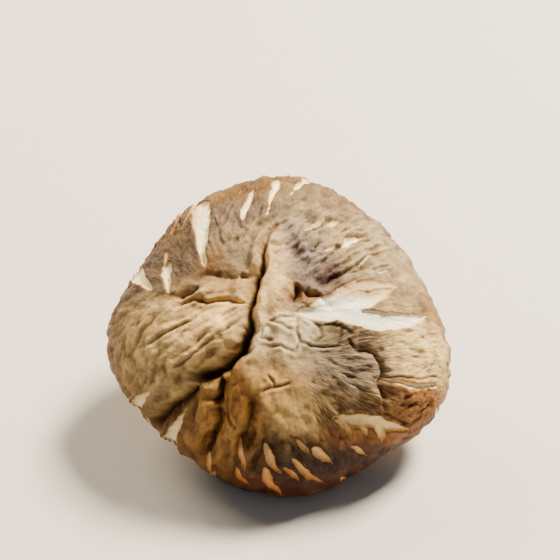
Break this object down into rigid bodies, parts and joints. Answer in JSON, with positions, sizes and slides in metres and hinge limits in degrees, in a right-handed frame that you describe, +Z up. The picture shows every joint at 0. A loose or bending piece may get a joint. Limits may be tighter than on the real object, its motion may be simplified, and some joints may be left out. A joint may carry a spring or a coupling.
{
  "type": "dried shiitake mushroom",
  "caption": "Dried shiitake mushroom with a thick, furrowed and cracked brown cap, a rolled rim, golden gills and a short bent stem, lying cap up.",
  "frame": {"origin": "on the surface that the mushroom lies on, under the middle of its box", "axes": "+Z up, +X to the right across the cap, +Y up the slope of the leaning cap and away from its low front rim"},
  "size_m": [0.0532, 0.0436, 0.0355],
  "materials": {
    "cap_skin": "matte, leathery, cracked to pale flesh",
    "gill_tissue": "matte, thin and dry",
    "stem_fibre": "matte, fibrous"
  },
  "bodies": {
    "root": {"cap": "cap_skin", "gills": "gill_tissue", "stem": "stem_fibre"}
  },
  "joints": []
}
